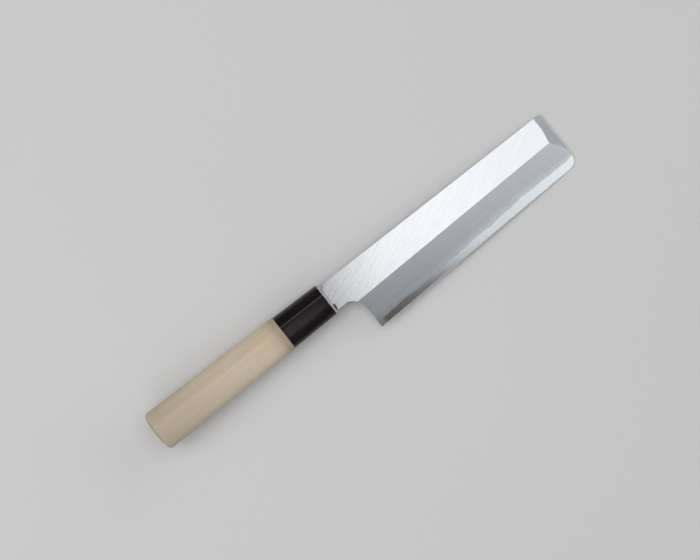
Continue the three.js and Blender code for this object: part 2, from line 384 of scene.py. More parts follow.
weld_start_x, weld_end_x = HEEL_X, BLADE_LENGTH
for _ in range(SETTLING_ROUNDS):
    weld_start_x = heel_x(weld_y(weld_start_x))
    weld_end_x = end_x(weld_y(weld_end_x))
weld_start = (weld_start_x, weld_y(weld_start_x))
weld_end = (weld_end_x, weld_y(weld_end_x))
weld_line = [(x, weld_y(x)) for x, _ in line(weld_start, weld_end, WELD_GAP)]
print("weld line:", len(weld_line), "points, from", short(weld_start), "to", short(weld_end))

# %% Where the facet's crease ends, and the stations along the ridge
STATION_GAP = 6.0
FIRST_STATION = 18.0
LAST_STATION_ROOM = 2.0
CREASE_ROOM = 0.5


def crease_y(x):
    """Where across the blade the tip facet runs out into the bevel."""
    return halving(ridge_y(x), edge_y(x), lambda y: facet_z(x, y) < ground_z(x, y))


crease_end_x = halving(FACET_AT_RIDGE + CREASE_ROOM, BLADE_LENGTH, lambda x: x < end_x(crease_y(x)))
crease_end = (crease_end_x, crease_y(crease_end_x))
station_run = FACET_AT_RIDGE - LAST_STATION_ROOM - FIRST_STATION
stations = [FIRST_STATION + STATION_GAP * i for i in range(int(station_run / STATION_GAP) + 1)]
print("ridge stations:", len(stations), "- crease ends at", short(crease_end))

# %% The runs of the outline
EDGE_GAP = 1.5
END_GAP = 1.2
BAND_GAP = 1.0
SLOPE_GAP = 0.8
NECK_GAP = 3.0
NECK_STATION = 12.0
SPINE_SLOPE = 2.8
TANG_TOP_Y = 6.0
slope_top = (SPINE_SLOPE, spine_y)
end_run = line(weld_end, crease_end, BAND_GAP) + line(crease_end, spine_corner, END_GAP)
spine_run = line(spine_corner, facet_spine, EDGE_GAP) + [facet_spine]
spine_run += [(x, spine_y) for x in reversed(stations)] + line((NECK_STATION, spine_y), slope_top, NECK_GAP)
slope_run = line(slope_top, (0, TANG_TOP_Y), SLOPE_GAP)
neck_run = line((0, NECK_Y), (FINGER_CENTRE[0], NECK_Y), EDGE_GAP) + finger_curve
print("spine and end:", len(spine_run) + len(end_run), "points - neck:", len(neck_run), "points")

# %% [markdown]
# ## Helpers for thin ground shells
# A blade is a thin slab whose two faces follow formulas. The steps are always the same: a closed ring of
# points, a wall, edges eased as by a stone, and a filled face. Filling by hand would leave long slivers
# across the twist, so Blender's constrained triangulation fills each face and keeps the ridge, the creases
# and the weld line as edges.

# %% Ring and fill helpers
SHARPEST_TURN = 0.3
POINT_JOIN = 1e-5


def taken_in(ring, amounts):
    """A ring of points moved inwards, each by its own amount."""
    moved = []
    for i, point in enumerate(ring):
        here = Vector(point)
        before = (here - Vector(ring[i - 1])).normalized()
        after = (Vector(ring[(i + 1) % len(ring)]) - here).normalized()
        inward = Vector((-before.y - after.y, before.x + after.x))
        moved.append(tuple(here + inward * amounts[i] / max(SHARPEST_TURN, 1 + before.dot(after))))
    return moved


def filled(ring, inner=(), lines=()):
    """Triangles inside a ring. Inner points come after the ring's own, and lines join points by number."""
    points = [Vector(p) for p in [*ring, *inner]]
    round_ring = [(i, (i + 1) % len(ring)) for i in range(len(ring))]
    made = delaunay_2d_cdt(points, round_ring + list(lines), [], 1, POINT_JOIN)
    first = [numbers[0] for numbers in made[3]]
    return [tuple(first[i] for i in face) for face in made[2]]


def middle_of(points, corners):
    return sum((Vector(points[i]) for i in corners), Vector((0, 0))) / len(corners)


def chain(numbers):
    """Point numbers as the edges of one line."""
    return list(zip(numbers, numbers[1:]))


def nearest(ring, point):
    return min(range(len(ring)), key=lambda i: (Vector(ring[i]) - Vector(point)).length)


print("a square fills with", len(filled([(0, 0), (1, 0), (1, 1), (0, 1)])), "triangles")

# %% Mesh helpers
MERGE_GAP = 0.002 * MM
THIN_FACE = 0.001 * MM


def walls(bm, lower, upper, finish):
    """Faces between two rings of equal count."""
    for i in range(len(lower)):
        j = (i + 1) % len(lower)
        bm.faces.new((lower[i], lower[j], upper[j], upper[i])).material_index = finish


def finished_piece(name, bm, node, open_angle=40, crisp=()):
    """Closes a mesh, keeps its ground lines crisp, and puts it in the place of its CAD node."""
    bmesh.ops.remove_doubles(bm, verts=bm.verts, dist=MERGE_GAP)
    bmesh.ops.dissolve_degenerate(bm, edges=bm.edges, dist=THIN_FACE)
    bmesh.ops.recalc_face_normals(bm, faces=bm.faces)
    for face in bm.faces:
        face.smooth = True
    for edge in bm.edges:
        kinds = {face.material_index for face in edge.link_faces}
        edge.smooth = edge.calc_face_angle(0) < math.radians(open_angle) and kinds not in crisp
    open_edges = sum(len(edge.link_faces) != 2 for edge in bm.edges)
    volume = bm.calc_volume() / MM ** 3
    piece = new_object(name, bpy.data.meshes.new(name))
    bm.to_mesh(piece.data)
    bm.free()
    piece.modifiers.new("even shading", "WEIGHTED_NORMAL").keep_sharp = True
    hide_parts(node)
    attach(piece, "root")
    print(f"{name}: {len(piece.data.polygons)} faces, {open_edges} open edges, {volume:.0f} cubic mm")
    return piece


print("pieces merge points closer than", round(MERGE_GAP / MM, 3), "mm")

# %% [markdown]
# ## The soft-iron body
# This is most of the blade: everything above the weld, with the neck and the hidden tang forged in one
# with it. It could be cut from a solid with booleans, but those leave ragged triangles along the wavy weld.
# Here the outline is walked once, and the face, the eased edges and the tang all hang on that one ring. At
# the lower corner of the neck the smith leaves a small dark step, which the ring takes in too.

# %% Outline of the iron, with the tang
TANG_LENGTH = 92.0
TANG_UNDER_Y = NECK_Y + 4.0
TANG_END_HALF = 3.0
TANG_THICKNESS = (3.0, 2.0)
TANG_GAP = 2.0
FLUSH_NECK = 1.4
TANG_STATIONS = (-FLUSH_NECK, -2 * FLUSH_NECK, -20, -38, -56, -74)
FORGED_STEP = ((-0.85, TANG_UNDER_Y), (-0.75, NECK_Y + 1.4), (0.1, NECK_Y + 0.5))
tang_end_top, tang_end_under = (-TANG_LENGTH, TANG_END_HALF), (-TANG_LENGTH, -TANG_END_HALF)


def tang_edges(x):
    """Top and underside of the tang at x, across the knife."""
    return (between(x, 0, -TANG_LENGTH, (TANG_TOP_Y, TANG_END_HALF)),
            between(x, 0, -TANG_LENGTH, (TANG_UNDER_Y, -TANG_END_HALF)))


tang_top = [(0, TANG_TOP_Y)] + [(x, tang_edges(x)[0]) for x in TANG_STATIONS]
tang_under = [tang_end_under] + [(x, tang_edges(x)[1]) for x in reversed(TANG_STATIONS)]
iron_ring = weld_line + end_run + spine_run + slope_run + tang_top
iron_ring += line(tang_end_top, tang_end_under, TANG_GAP) + tang_under + list(FORGED_STEP)
iron_ring += neck_run + line(heel_top, weld_start, END_GAP)
print("iron outline:", len(iron_ring), "points")

# %% Heights of the iron's two faces
TANG_STEP = 0.5
axis_z = SPINE_THICKNESS[0] / 2


def tang_half(x):
    return between(x, 0, -TANG_LENGTH, TANG_THICKNESS) / 2


def iron_top(x, y):
    """The ground face, carried flush into the ferrule before it steps down to the tang."""
    ramp = share_of(x, -FLUSH_NECK, -2 * FLUSH_NECK)
    return face_z(max(x, -FLUSH_NECK), y) * (1 - ramp) + (axis_z + tang_half(x)) * ramp


def iron_under(x):
    ramp = share_of(x, 0, -TANG_STEP)
    return weld_z(x) * (1 - ramp) + (axis_z - tang_half(x)) * ramp


mid_tang = -TANG_LENGTH / 2
print("tang is", round(iron_top(mid_tang, 0) - iron_under(mid_tang), 2), "mm thick halfway")

# %% Lines on the iron's face
CREASE_GAP = 0.8
CREASE_SIDES = (-1.5, -1.1, -0.75, -0.4, 0.4, 0.75, 1.1, 1.5)
CLEAR_OF_END, CLEAR_OF_WELD, CLEAR_OF_RIDGE = 0.5, 0.4, 0.3
FACET_SEARCH = 4.0
FORGED_X = 0.4


def facet_x(y):
    """Where along the blade the flat ends and the tip facet starts."""
    start = FACET_AT_RIDGE - FACET_SEARCH
    return halving(start, BLADE_LENGTH, lambda x: facet_z(x, y) > ground_z(x, y))


def beside_crease(crease):
    """Points on both sides of the facet's crease, to carry its soft turn."""
    along = (Vector(crease_end) - Vector(facet_ridge)).normalized()
    away = Vector((-along.y, along.x))
    shifted = [Vector(p) + away * gap for gap in CREASE_SIDES for p in crease]
    return [tuple(p) for p in shifted if p.x < end_x(p.y) - CLEAR_OF_END
            and weld_y(p.x) + CLEAR_OF_WELD < p.y < ridge_y(p.x) - CLEAR_OF_RIDGE]


def iron_lines(ring):
    """Ridge, creases and stations of the face: the inner points, and the lines that join them to the ring."""
    ridge = [(x, ridge_y(x)) for x in stations] + [facet_ridge]
    crease = [(x, crease_y(x)) for x, _ in line(facet_ridge, crease_end, CREASE_GAP)[1:]]
    facet_line = [(facet_x(y), y) for _, y in line(facet_ridge, facet_spine, END_GAP)[1:]]
    base = len(ring)
    corner = base + len(ridge) - 1
    first = base + len(ridge) + len(crease)
    lines = chain([nearest(ring, ridge_start), *range(base, corner + 1)])
    lines += chain([corner, *range(corner + 1, first), nearest(ring, crease_end)])
    lines += chain([corner, *range(first, first + len(facet_line)), nearest(ring, facet_spine)])
    for i, x in enumerate(stations):
        lines += [(base + i, nearest(ring, (x, y))) for y in (spine_y, weld_y(x))]
    for x in TANG_STATIONS:
        lines += [tuple(nearest(ring, (x, y)) for y in tang_edges(x))]
    inner_points = ridge + crease + facet_line + beside_crease(crease) + [(FORGED_X, TANG_UNDER_Y)]
    step_corner = base + len(inner_points) - 1
    lines += [(step_corner, nearest(ring, p)) for p in (FORGED_STEP[0], FORGED_STEP[-1], (0, TANG_TOP_Y))]
    return inner_points, lines


print("inside the iron's face:", len(iron_lines(iron_ring)[0]), "points")

# %% Build the iron
EASED_EDGE = 0.14
EASE_STEPS = 4
EASE_SHARE = 0.45
FLAT, BEVEL, FACET, SIDES, TANG, HIDDEN = range(6)


def face_kind(x, y):
    if x < -FLUSH_NECK or (x < FORGED_X and y < TANG_UNDER_Y):
        return TANG
    if facet_z(x, y) < ground_z(x, y):
        return FACET
    return FLAT if y > ridge_y(x) else BEVEL


iron_bm = bmesh.new()
ease = [min(EASED_EDGE, EASE_SHARE * max(0, iron_top(x, y) - iron_under(x))) for x, y in iron_ring]
under = [iron_bm.verts.new(place(x, y, iron_under(x))) for x, y in iron_ring]
last = under
for step in range(EASE_STEPS + 1):
    turn = QUARTER * step / EASE_STEPS
    ring_in = taken_in(iron_ring, [r * (1 - math.cos(turn)) for r in ease])
    heights = [iron_top(x, y) - r * (1 - math.sin(turn)) for (x, y), r in zip(ring_in, ease)]
    upper = [iron_bm.verts.new(place(*p, z)) for p, z in zip(ring_in, heights)]
    walls(iron_bm, last, upper, SIDES)
    last = upper
inner, inner_lines = iron_lines(ring_in)
top = last + [iron_bm.verts.new(place(x, y, iron_top(x, y))) for x, y in inner]
for corners in filled(ring_in, inner, inner_lines):
    kind = face_kind(*middle_of(ring_in + inner, corners))
    iron_bm.faces.new([top[i] for i in corners]).material_index = kind
for corners in filled(iron_ring):
    iron_bm.faces.new([under[i] for i in reversed(corners)]).material_index = HIDDEN
iron = finished_piece("blade_iron", iron_bm, "blade_cladding",
                      crisp=({FLAT, BEVEL}, {FLAT, FACET}))

# %% [markdown]
# ## The hard-steel layer
# The steel lies under the whole blade and comes out along the edge as the bright band, with a narrow honed
# bevel at the very edge. Its back is ground hollow, so that only a narrow rim touches the stone. A flat
# plate with a bump map would show no hollow against the light, so the hollow is real: rings of a squared
# ellipse, sunk by a third of a millimetre at most.

# %% Outline of the steel
edge_run = line(heel_corner, tip_arc[0], EDGE_GAP) + tip_arc[:-1]
steel_ring = edge_run + end_run + spine_run + slope_run
steel_ring += line((0, TANG_TOP_Y), (0, NECK_Y), TANG_GAP) + neck_run
steel_ring += line(heel_top, weld_start, END_GAP) + line(weld_start, heel_corner, BAND_GAP)
print("steel outline:", len(steel_ring), "points")

# %% Upper side of the steel: hidden under the iron, then band and honed bevel
BAND, STEEL_SIDES, BACK, STEEL_HIDDEN, EDGE_BEVEL, BACK_RIM = range(6)
EDGE_BEVEL_WIDTH = 0.3
EDGE_BEVEL_Z = 0.17
edge_count = len(edge_run)
ring_count = len(steel_ring)


def steel_z(x, y):
    return min(weld_z(x), face_z(x, y))


top_heights = [steel_z(x, y) for x, y in steel_ring]
top_heights[1:edge_count] = [EDGE_BEVEL_Z] * (edge_count - 1)
steel_bm = bmesh.new()
steel_back = [steel_bm.verts.new(place(x, y, 0)) for x, y in steel_ring]
steel_top = [steel_bm.verts.new(place(*p, z)) for p, z in zip(steel_ring, top_heights)]
walls(steel_bm, steel_back, steel_top, STEEL_SIDES)
bevel_top = taken_in(steel_ring, [EDGE_BEVEL_WIDTH] * ring_count)[1:edge_count]
steel_inner = weld_line[1:] + bevel_top
steel_top += [steel_bm.verts.new(place(x, y, steel_z(x, y))) for x, y in steel_inner]
bevel_base = ring_count + len(weld_line) - 1
weld_end_number = nearest(steel_ring, weld_end)
steel_lines = chain([nearest(steel_ring, weld_start), *range(ring_count, bevel_base), weld_end_number])
steel_lines += chain([0, *range(bevel_base, bevel_base + len(bevel_top)), weld_end_number])
for corners in filled(steel_ring, steel_inner, steel_lines):
    x, y = middle_of(steel_ring + steel_inner, corners)
    kind = BAND if face_z(x, y) < weld_z(x) else STEEL_HIDDEN
    along_edge = all(i < edge_count or i >= bevel_base or i == weld_end_number for i in corners)
    if along_edge and min(corners) < edge_count:
        kind = EDGE_BEVEL
    steel_bm.faces.new([steel_top[i] for i in corners]).material_index = kind
print("upper side of the steel:", len(steel_top), "points")

# %% Hollow back of the steel
HOLLOW_RIM = 1.5
HOLLOW_DEPTH = 0.3
HOLLOW_SQUARENESS = 5
HOLLOW_TURNS = 44
HOLLOW_RINGS = (1.0, 0.92, 0.8, 0.6, 0.4, 0.2)
hollow_ends = (HEEL_X + HOLLOW_RIM, BLADE_LENGTH - TIP_LEAN - HOLLOW_RIM)


def hollow_point(turn, size):
    """A point of the hollow: turn runs round it, size from 0 in the middle to 1 at its rim."""
    power = 2 / HOLLOW_SQUARENESS
    along, across = (size * math.copysign(abs(v) ** power, v) for v in (math.cos(turn), math.sin(turn)))
    x = between(along, -1, 1, hollow_ends)
    half = (spine_y - edge_y(x)) / 2
    return x, spine_y - half + across * (half - HOLLOW_RIM)


hollow, hollow_lines = [], []
for size in HOLLOW_RINGS:
    first = ring_count + len(hollow)
    ring = [hollow_point(2 * math.pi * i / HOLLOW_TURNS, size) for i in range(HOLLOW_TURNS)]
    sunk = HOLLOW_DEPTH * (1 - size ** 2)
    steel_back += [steel_bm.verts.new(place(x, y, sunk)) for x, y in ring]
    hollow += ring
    hollow_lines += chain([*range(first, first + HOLLOW_TURNS), first])
for corners in filled(steel_ring, hollow, hollow_lines):
    kind = BACK_RIM if min(corners) < ring_count else BACK
    steel_bm.faces.new([steel_back[i] for i in reversed(corners)]).material_index = kind
steel = finished_piece("edge_steel_layer", steel_bm, "edge_steel",
                       crisp=({BAND, STEEL_HIDDEN}, {BAND, EDGE_BEVEL}, {BACK, BACK_RIM}))

# %% [markdown]
# ## The handle's section
# The handle is shaped for one hand: round on the left, and rising to one ridge on the right. A cylinder
# scaled flat would miss that ridge, so the section is drawn as two curves and half an ellipse. The ridge
# gets a small round of its own, crisp on the horn and softer on the wood, as sanding leaves it.

# %% D section
SECTION_RIDGE = 0.33
SECTION_RIDGE_SIDE = 0.52
LOWER_LEAVES, LOWER_MEETS = (0.55, 0.84), 0.6
UPPER_LEAVES, UPPER_MEETS = (0.72, 0.74), 0.5
LOWER_SPEED, UPPER_SPEED = 1.65, 2.2
RIDGE_STEPS, LOWER_STEPS, BACK_STEPS, UPPER_STEPS = 6, 22, 36, 18


def bezier(corners, t):
    points = [Vector(c) for c in corners]
    while len(points) > 1:
        points = [a.lerp(b, t) for a, b in zip(points, points[1:])]
    return points[0]


def d_section(height, thickness, ridge_round):
    """Points round the handle, from the ridge over the edge side and the round back, about its axis."""
    half = height / 2
    ridge = half * SECTION_RIDGE
    right = thickness * SECTION_RIDGE_SIDE
    left = thickness - right
    below, above = half + ridge, half - ridge
    lower = ((ridge, right), (ridge - LOWER_LEAVES[0] * below, LOWER_LEAVES[1] * right),
             (-half, LOWER_MEETS * right), (-half, 0))
    upper = ((half, 0), (half, UPPER_MEETS * right),
             (ridge + UPPER_LEAVES[0] * above, UPPER_LEAVES[1] * right), (ridge, right))
    lower_from = ridge_round / (LOWER_SPEED * below)
    upper_to = 1 - ridge_round / (UPPER_SPEED * above)
    rounding = (bezier(upper, upper_to), (ridge, right), bezier(lower, lower_from))
    lower_shares = [between(i, 0, LOWER_STEPS, (lower_from, 1)) for i in range(1, LOWER_STEPS + 1)]
    back_turns = [math.pi + math.pi * i / BACK_STEPS for i in range(1, BACK_STEPS + 1)]
    points = [bezier(rounding, i / RIDGE_STEPS) for i in range(RIDGE_STEPS + 1)]
    points += [bezier(lower, share) for share in lower_shares]
    points += [Vector((half * math.cos(turn), left * math.sin(turn))) for turn in back_turns]
    points += [bezier(upper, upper_to * i / UPPER_STEPS) for i in range(1, UPPER_STEPS)]
    return points


print("section:", len(d_section(22, 18, 0.4)), "points")

# %% Rings along the handle
FERRULE_FRONT = -0.9
FERRULE_BACK = -33.5
BUTT = -128.5
WOOD_PROUD = 0.25
HORN_HEIGHT = (20.8, 22.0)
HORN_THICKNESS = (17.2, 18.0)
HORN_RIDGE_ROUND = 0.45
WOOD_HEIGHT = (HORN_HEIGHT[1] + 2 * WOOD_PROUD, 25.1)
WOOD_THICKNESS = (HORN_THICKNESS[1] + 2 * WOOD_PROUD, 20.4)
WOOD_RIDGE_ROUND = 1.0


def shrunk(section, height, thickness, inset):
    return [Vector((p.x * (1 - 2 * inset / height), p.y * (1 - 2 * inset / thickness))) for p in section]


def horn_ring(x, inset=0):
    height = between(x, FERRULE_FRONT, FERRULE_BACK, HORN_HEIGHT)
    thickness = between(x, FERRULE_FRONT, FERRULE_BACK, HORN_THICKNESS)
    return x, shrunk(d_section(height, thickness, HORN_RIDGE_ROUND), height, thickness, inset)


def wood_ring(x, inset=0):
    height = between(x, FERRULE_BACK, BUTT, WOOD_HEIGHT)
    thickness = between(x, FERRULE_BACK, BUTT, WOOD_THICKNESS)
    return x, shrunk(d_section(height, thickness, WOOD_RIDGE_ROUND), height, thickness, inset)


print("wood at the butt:", WOOD_HEIGHT[1], "by", WOOD_THICKNESS[1], "mm")

# %% [markdown]
# ## Tenon and slot
# Inside the ferrule the wood goes on as an oval tenon, and a tapered slot in it takes the tang. Both are
# rings again, with as many points as the outer ring and in the same directions, so that faces can run from
# one to the next without a twist. A boolean would give the same room with a far worse mesh.

# %% Tenon and slot rings, point by point under the outer ring
TENON_HALVES = (7.7, 5.3)
GLUE_LINE = 0.15
SLOT_ROOM = 0.2
SLOT_END = -95.0


def tenon_ring(x, room=0):
    """An ellipse whose points lie in the same directions as those of the outer ring."""
    tall, thick = (half + room for half in TENON_HALVES)
    points = []
    for p in wood_ring(FERRULE_BACK)[1]:
        turn = math.atan2(p.y / thick, p.x / tall)
        points.append(Vector((tall * math.cos(turn), thick * math.sin(turn))))
    return x, points


def slot_ring(x):
    """The tang's slot, as a rectangle with its four corners kept."""
    top, under = tang_edges(x)[0] + SLOT_ROOM, tang_edges(x)[1] - SLOT_ROOM
    side = tang_half(x) + SLOT_ROOM
    points = []
    for p in tenon_ring(x)[1]:
        to_edge = (top if p.x > 0 else under) / p.x if p.x else math.inf
        to_side = side / abs(p.y) if p.y else math.inf
        points.append(p * min(to_edge, to_side))
    for corner in (Vector((a, b)) for a in (top, under) for b in (side, -side)):
        points[nearest(points, corner)] = corner
    return x, points


print("slot mouth:", short(slot_ring(FERRULE_FRONT)[1][0]))

# %% [markdown]
# ## The horn ferrule
# The ferrule is a ring of black horn that keeps the wood from splitting. It is a loft: one ring of points
# is carried from the back along the outside, over the chamfer, and home through the bore. The chamfer and
# both rims are eased by a few extra rings, because a bright line along an edge is what makes horn look
# polished. The faces along the ridge get a number of their own, since that is where a hand wears it and
# where a lighter tone is painted for its highlight line.

# %% Rings of the ferrule
SMALL_ROUND = 0.15
CHAMFER_DEPTH = 0.6
HORN_STEPS = 6
HORN_OUT, HORN_CHAMFER, HORN_FACE, HORN_BORE, HORN_RIDGE = range(5)
chamfer_from = FERRULE_FRONT - CHAMFER_RUN
horn_ends = (FERRULE_BACK, chamfer_from)
horn_rings = [horn_ring(FERRULE_BACK, SMALL_ROUND), horn_ring(FERRULE_BACK + SMALL_ROUND)]
horn_rings += [horn_ring(between(i, 0, HORN_STEPS, horn_ends)) for i in range(1, HORN_STEPS)]
horn_rings += [horn_ring(chamfer_from - SMALL_ROUND)]
horn_kinds = [HORN_OUT] * (len(horn_rings) - 1)
horn_rings += [horn_ring(chamfer_from + SMALL_ROUND, SMALL_ROUND / 2),
               horn_ring(FERRULE_FRONT - SMALL_ROUND, CHAMFER_DEPTH - SMALL_ROUND / 2),
               horn_ring(FERRULE_FRONT, CHAMFER_DEPTH + SMALL_ROUND)]
horn_rings += [tenon_ring(FERRULE_FRONT, GLUE_LINE), tenon_ring(FERRULE_BACK, GLUE_LINE)]
horn_kinds += [HORN_CHAMFER] * 3 + [HORN_FACE] + [HORN_BORE] * 2
print("ferrule:", len(horn_rings), "rings")

# %% Build the ferrule
RIDGE_POINTS = slice(1, 6)


def loft(bm, rings, kinds, closed):
    """Faces along rings of equal count. Kinds gives one finish for each gap between two rings."""
    made = [[bm.verts.new(place(x, p.x, axis_z + p.y)) for p in points] for x, points in rings]
    gaps = len(rings) if closed else len(rings) - 1
    for i in range(gaps):
        walls(bm, made[i], made[(i + 1) % len(made)], kinds[i])
    return made


horn_bm = bmesh.new()
horn_verts = loft(horn_bm, horn_rings, horn_kinds, closed=True)
ridge_verts = {vert for ring in horn_verts for vert in ring[RIDGE_POINTS]}
for face in horn_bm.faces:
    if face.material_index == HORN_OUT and ridge_verts.issuperset(face.verts):
        face.material_index = HORN_RIDGE
ferrule = finished_piece("horn_ferrule_ring", horn_bm, "horn_ferrule", open_angle=50)

# %% [markdown]
# ## The wooden grip
# The grip is pale, close-grained wood with a crowned butt. It is the same kind of loft, from the middle of
# the butt over its round edge and along the grip to the ferrule, then on as the tenon inside the horn, and
# back down the slot that is burnt in for the tang. The inside hardly shows, but a knife taken apart should
# still be whole.

# %% Rings of the grip
BUTT_ROUND = 2.6
BUTT_CROWN = 1.0
CROWN_STEPS = 6
ROUND_STEPS = 9
GRIP_STEPS = 14
GRIP_LIP = 0.04
BUTT_FACE, GRIP, TENON, SLOT = range(4)
crown_inset = WOOD_THICKNESS[1] / 2 - BUTT_ROUND
wood_rings = []
for step in range(1, CROWN_STEPS + 1):
    out = step / CROWN_STEPS
    wood_rings.append(wood_ring(BUTT + BUTT_CROWN * out ** 2, BUTT_ROUND + crown_inset * (1 - out)))
for step in range(1, ROUND_STEPS + 1):
    turn = QUARTER * step / ROUND_STEPS
    x = BUTT + BUTT_CROWN + BUTT_ROUND * (1 - math.cos(turn))
    wood_rings.append(wood_ring(x, BUTT_ROUND * (1 - math.sin(turn))))
grip_ends = (wood_rings[-1][0], FERRULE_BACK)
wood_rings += [wood_ring(between(i, 0, GRIP_STEPS, grip_ends)) for i in range(1, GRIP_STEPS)]
wood_rings += [wood_ring(FERRULE_BACK - SMALL_ROUND), wood_ring(FERRULE_BACK - GRIP_LIP, GRIP_LIP),
               wood_ring(FERRULE_BACK, SMALL_ROUND)]
butt_gaps = CROWN_STEPS - 1 + ROUND_STEPS // 2
grip_gaps = len(wood_rings) - 1 - butt_gaps
wood_rings += [tenon_ring(FERRULE_BACK), tenon_ring(FERRULE_FRONT)]
wood_rings += [slot_ring(FERRULE_FRONT), slot_ring(SLOT_END)]
wood_kinds = [BUTT_FACE] * butt_gaps + [GRIP] * grip_gaps + [TENON] * 3 + [SLOT]
print("grip:", len(wood_rings), "rings")

# %% Build the grip and close its two ends
wood_bm = bmesh.new()
wood_verts = loft(wood_bm, wood_rings, wood_kinds, closed=False)
butt_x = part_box("wooden_handle")[0].x
for vert in wood_verts[0]:
    vert.co.x = max(vert.co.x, butt_x)
for ring, kind in ((wood_verts[0], BUTT_FACE), (wood_verts[-1], SLOT)):
    hub = wood_bm.verts.new(sum((v.co for v in ring), Vector()) / len(ring))
    if kind == BUTT_FACE:
        hub.co.x = butt_x
    for i, vert in enumerate(ring):
        wood_bm.faces.new((vert, ring[(i + 1) % len(ring)], hub)).material_index = kind
grip = finished_piece("wooden_grip", wood_bm, "wooden_handle", open_angle=50)

# %% [markdown]
# ## Node helpers
# Each finish is a small tree of shader nodes. Wiring sockets one by one hides what a finish is made of, so
# one helper adds a node with its settings and its inputs, where an input is either a number or another
# node's output. The others are short names for the nodes that come up again and again.

# %% Helpers for single nodes
def add_node(tree, kind, inputs=None, **settings):
    """A node with its settings and inputs. An input is a value or another node's output."""
    made = tree.nodes.new(kind)
    for name, value in settings.items():
        setattr(made, name, value)
    for name, value in (inputs or {}).items():
        if isinstance(value, bpy.types.NodeSocket):
            tree.links.new(value, made.inputs[name])
        else:
            made.inputs[name].default_value = value
    return made


def maths(tree, operation, a, b=0.0, clamp=False):
    return add_node(tree, "ShaderNodeMath", {0: a, 1: b}, operation=operation, use_clamp=clamp).outputs[0]


def vector_maths(tree, operation, a, b):
    made = add_node(tree, "ShaderNodeVectorMath", {0: a, 1: b}, operation=operation)
    return made.outputs["Value" if operation == "DOT_PRODUCT" else "Vector"]


def ramped(tree, value, low, high, to_low=0.0, to_high=1.0, smooth=True):
    kind = "SMOOTHSTEP" if smooth else "LINEAR"
    inputs = {"Value": value, "From Min": low, "From Max": high, "To Min": to_low, "To Max": to_high}
    return add_node(tree, "ShaderNodeMapRange", inputs, interpolation_type=kind).outputs["Result"]


def blended(tree, share, first, second, way="MIX"):
    inputs = {0: share, 6: first, 7: second}
    return add_node(tree, "ShaderNodeMix", inputs, data_type="RGBA", blend_type=way).outputs[2]


print("helpers for single nodes are ready")

# %% Helpers for noise, groups and materials
FLOAT, VECTOR = "NodeSocketFloat", "NodeSocketVector"


def noise(tree, spot, scale, **inputs):
    return add_node(tree, "ShaderNodeTexNoise", {"Vector": spot, "Scale": scale, **inputs}).outputs[0]


def streaked(tree, spot, across, squeeze, **inputs):
    """Noise drawn out along its first axis: across sets how fine it is, squeeze how long."""
    along = maths(tree, "MULTIPLY", across, squeeze)
    scale = add_node(tree, "ShaderNodeCombineXYZ", {"X": along, "Y": across, "Z": across}).outputs[0]
    return noise(tree, vector_maths(tree, "MULTIPLY", spot, scale), 1.0, **inputs)


def new_group(name, inputs, outputs):
    """A node group that takes a place and some numbers. Returns its tree, its inputs and its outputs."""
    tree = bpy.data.node_groups.new(name, "ShaderNodeTree")
    tree.interface.new_socket("Place", in_out="INPUT", socket_type=VECTOR)
    for title, value in inputs.items():
        tree.interface.new_socket(title, in_out="INPUT", socket_type=FLOAT).default_value = value
    for title in outputs:
        tree.interface.new_socket(title, in_out="OUTPUT", socket_type=FLOAT)
    return tree, tree.nodes.new("NodeGroupInput").outputs, tree.nodes.new("NodeGroupOutput").inputs


def place_group(tree, group, spot, **values):
    """A node group in a material, with its own values, named with _ for a space. Returns its outputs."""
    inputs = {"Place": spot, **{name.replace("_", " "): value for name, value in values.items()}}
    return add_node(tree, "ShaderNodeGroup", inputs, node_tree=group).outputs


def new_material(name):
    material = bpy.data.materials.new(name)
    material.use_nodes = True
    tree = material.node_tree
    spot = add_node(tree, "ShaderNodeTexCoord").outputs["Object"]
    return material, tree, tree.nodes["Principled BSDF"], spot


def wire_bump(tree, shader, height, strength, depth):
    """Feeds a height into the shader's normal. Depth is in millimetres."""
    bump = add_node(tree, "ShaderNodeBump", {"Height": height, "Strength": strength, "Distance": depth * MM})
    tree.links.new(bump.outputs[0], shader.inputs["Normal"])


print("helpers for groups and materials are ready")

# %% [markdown]
# ## Grinding lines
# A stone or belt leaves fine parallel scratches. They are stretched noise: the place on the surface is
# turned to the direction of the stroke, then squeezed along it. Two sizes are laid over each other, because
# real grit is never even. Every ground face uses this group with its own angle and fineness.

# %% Group: grinding lines
GRIT = (("Lines", 0.03, 1.0), ("Streaks", 0.045, 0.20))
grinding_lines, given, result = new_group(
    "grinding lines", {"Angle": 0.0, "Fineness": 2500.0}, ["Lines", "Streaks"])
turned = add_node(grinding_lines, "ShaderNodeVectorRotate",
                  {"Vector": given["Place"], "Angle": given["Angle"]}, rotation_type="Z_AXIS").outputs[0]
for title, squeeze, share in GRIT:
    across = maths(grinding_lines, "MULTIPLY", given["Fineness"], share)
    grit = streaked(grinding_lines, turned, across, squeeze, Detail=3.0, Roughness=0.6)
    grinding_lines.links.new(grit, result[title])
print("group:", grinding_lines.name)

# %% [markdown]
# ## Long grain
# Wood fibres and horn both grow along the handle, so both show long streaks with finer hairs in them. A
# wave texture would give even stripes like plywood, so the group is noise stretched along the knife: broad
# streaks for colour, and hairs for pores and roughness.

# %% Group: long grain
FIBRES = (("Streaks", "Streak width", 0.035), ("Hairs", "Hair width", 0.02))
long_grain, given, result = new_group(
    "long grain", {"Streak width": 300.0, "Hair width": 3000.0}, ["Streaks", "Hairs"])
for title, width, squeeze in FIBRES:
    fibre = streaked(long_grain, given["Place"], given[width], squeeze, Detail=2.5, Roughness=0.5)
    long_grain.links.new(fibre, result[title])
print("group:", long_grain.name)

